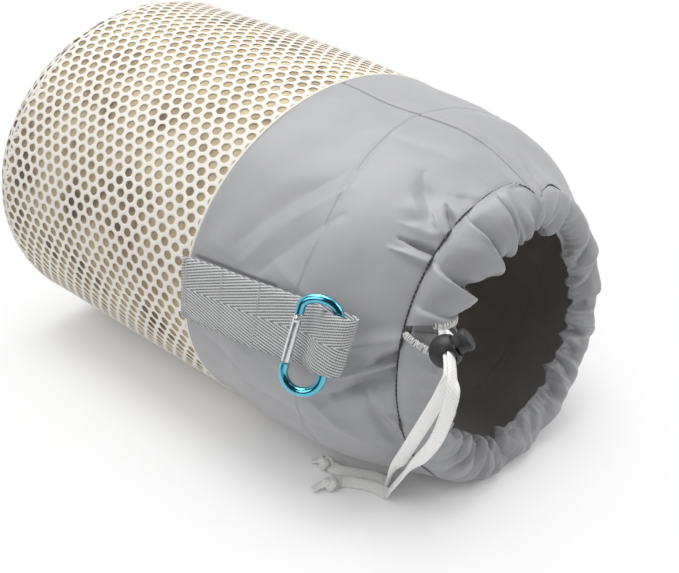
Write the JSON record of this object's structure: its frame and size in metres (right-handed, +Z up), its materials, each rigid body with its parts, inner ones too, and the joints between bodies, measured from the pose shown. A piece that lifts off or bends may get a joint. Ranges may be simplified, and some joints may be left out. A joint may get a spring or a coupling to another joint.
{
  "type": "peg bag",
  "caption": "Net peg bag with a cloth collar, gathered drawstring mouth, ball cord lock, and a webbing loop that carries a spring-gate carabiner.",
  "frame": {"origin": "on the floor under the middle of the bag's length, in the bag's mirror plane, on the flat underside of the net", "axes": "+X along the bag from its base to its mouth, +Z up, and the strap, carabiner and cord lock on the -Y side"},
  "size_m": [0.3571, 0.243, 0.1912],
  "materials": {
    "net": "open hexagon net, white",
    "tape": "woven tape, white",
    "collar_cloth": "smooth satin-woven cloth, mid grey",
    "overlock_thread": "overlocked thread edge, white",
    "cord": "soft flat braid, white",
    "lock_plastic": "moulded, black, slight sheen",
    "spring_steel": "drawn wire",
    "webbing": "herringbone webbing, silver grey",
    "blue_aluminium": "anodised, blue-teal",
    "plain_aluminium": "clear anodised",
    "pin_steel": "plain steel"
  },
  "bodies": {
    "bag": {"net_wall": "net", "net_base": "net", "collar_seam_tape": "tape", "base_seam_tape": "tape", "collar_front": "collar_cloth", "collar_back": "collar_cloth", "drawstring_casing": "collar_cloth", "slit_overlock_lower": "overlock_thread", "slit_overlock_upper": "overlock_thread", "drawstring_loop": "cord", "drawstring_tail_upper": "cord", "drawstring_knot_upper": "cord", "drawstring_tail_lower": "cord", "drawstring_knot_lower": "cord", "webbing_strap": "webbing"},
    "cord_lock": {"cord_lock_ball": "lock_plastic", "cord_lock_spring": "spring_steel"},
    "lock_plunger": {"cord_lock_plunger": "lock_plastic"},
    "carabiner": {"carabiner_body": "blue_aluminium", "carabiner_rivet": "pin_steel"},
    "gate": {"carabiner_gate": "plain_aluminium", "carabiner_latch_pin": "pin_steel", "carabiner_pusher": "pin_steel", "carabiner_gate_spring": "spring_steel"}
  },
  "joints": [
    {"name": "cord_lock_slide", "type": "slide", "parent": "bag", "child": "cord_lock", "axis": [0.6865, -0.7267, -0.0271], "range_m": [0, 0.008]},
    {"name": "plunger_press", "type": "slide", "parent": "cord_lock", "child": "lock_plunger", "axis": [-0.6009, -0.5459, -0.5839], "range_m": [0, 0.0025], "stiffness_N_per_m": 600, "springref_m": -0.002, "deforming": ["cord_lock_spring"]},
    {"name": "carabiner_swing", "type": "hinge", "parent": "bag", "child": "carabiner", "pos_m": [0.12924, -0.11005, 0.11238], "axis": [0.0702, 0.3113, 0.9477], "range_deg": [0, 100]},
    {"name": "gate_hinge", "type": "hinge", "parent": "carabiner", "child": "gate", "pos_m": [0.11405, -0.11719, 0.1227], "axis": [0.5367, -0.8126, 0.2272], "range_deg": [0, 16], "stiffness_Nm_per_rad": 0.06, "springref_deg": -17.19}
  ]
}
